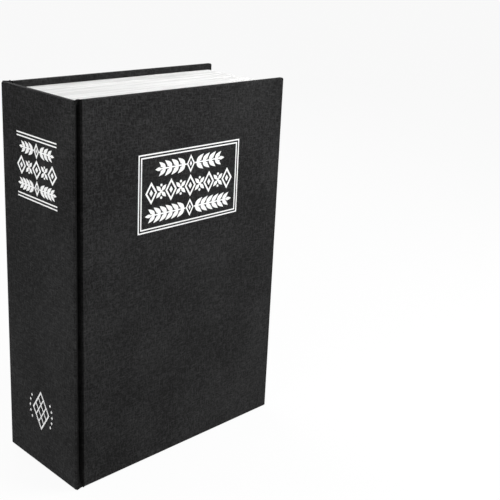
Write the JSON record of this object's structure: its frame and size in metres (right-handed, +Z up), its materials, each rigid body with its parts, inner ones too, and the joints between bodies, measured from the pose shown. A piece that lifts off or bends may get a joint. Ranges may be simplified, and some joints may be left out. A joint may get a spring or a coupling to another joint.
{
  "type": "book diversion safe",
  "caption": "Case-bound hollow book standing closed, hiding a steel compartment behind its front cover, with a hinged steel door, a keyed cam lock and keys on a ring.",
  "frame": {"origin": "centre of the closed book's foot, on the surface that it stands on", "axes": "+Z up along the spine, +X from the spine to the fore-edge, +Y from the front cover to the back cover"},
  "size_m": [0.124, 0.055, 0.18],
  "materials": {
    "bookcloth": "black linen-grain book cloth, matt",
    "board": "grey-brown book board, matt",
    "paper": "white uncoated paper, matt",
    "black_paint": "black fine-texture powder coat on sheet steel",
    "nickel": "bright nickel plate",
    "zinc": "bright zinc plate on steel",
    "black_plastic": "black moulded plastic, satin",
    "foil": "white-silver stamping foil, satin"
  },
  "bodies": {
    "root": {"spine_board": "board", "back_board": "board", "case_cloth": "bookcloth", "back_pastedown": "paper", "front_joint_cloth": "bookcloth", "front_joint_paper": "paper", "page_block": "paper", "box_shell": "black_paint", "strike_strip": "black_paint", "hinge_pin_top": "zinc", "hinge_pin_bottom": "zinc", "hinge_washer_top": "zinc", "hinge_washer_bottom": "zinc", "back_rivet_1": "zinc", "back_rivet_2": "zinc", "back_rivet_3": "zinc", "back_rivet_4": "zinc", "side_rivet_1": "zinc", "side_rivet_2": "zinc"},
    "front_cover": {"front_board": "board", "front_cover_cloth": "bookcloth", "front_pastedown": "paper"},
    "door": {"door_pan": "black_paint", "lock_body": "nickel", "lock_tooth_washer": "zinc", "lock_nut": "nickel"},
    "lock_rotor": {"lock_plug": "nickel", "cam_stop_washer": "zinc", "lock_cam": "zinc", "cam_spring_washer": "zinc", "cam_screw": "zinc"},
    "key_ring": {"key_ring": "nickel"},
    "key_1": {"key_1_blade": "nickel", "key_1_bow": "black_plastic"},
    "key_2": {"key_2_blade": "nickel", "key_2_bow": "black_plastic"}
  },
  "joints": [
    {"name": "cover_hinge", "type": "hinge", "parent": "root", "child": "front_cover", "pos_m": [-0.0593, -0.0278, 0.09], "axis": [0, 0, -1], "range_deg": [0, 180], "deforming": ["front_joint_cloth", "front_joint_paper"]},
    {"name": "door_hinge", "type": "hinge", "parent": "root", "child": "door", "pos_m": [-0.0503, -0.0178, 0.09], "axis": [0, 0, -1], "range_deg": [0, 99]},
    {"name": "lock_turn", "type": "hinge", "parent": "door", "child": "lock_rotor", "pos_m": [0.02742, -0.0114, 0.09], "axis": [0, 1, 0], "range_deg": [0, 90]},
    {"name": "key_ring_lift", "type": "slide", "parent": "root", "child": "key_ring", "axis": [0, 0, 1], "range_m": [0, 0.03]},
    {"name": "key_1_swing", "type": "hinge", "parent": "key_ring", "child": "key_1", "pos_m": [-0.00925, 0.0033, 0.017], "axis": [0, 0, 1], "range_deg": [-6, 8]},
    {"name": "key_2_swing", "type": "hinge", "parent": "key_ring", "child": "key_2", "pos_m": [0.00875, 0.0033, 0.017], "axis": [0, 0, -1], "range_deg": [-6, 8]}
  ],
  "couplings": [
    {"joint": "door_hinge", "follows": "cover_hinge", "ratio": 0.55}
  ]
}
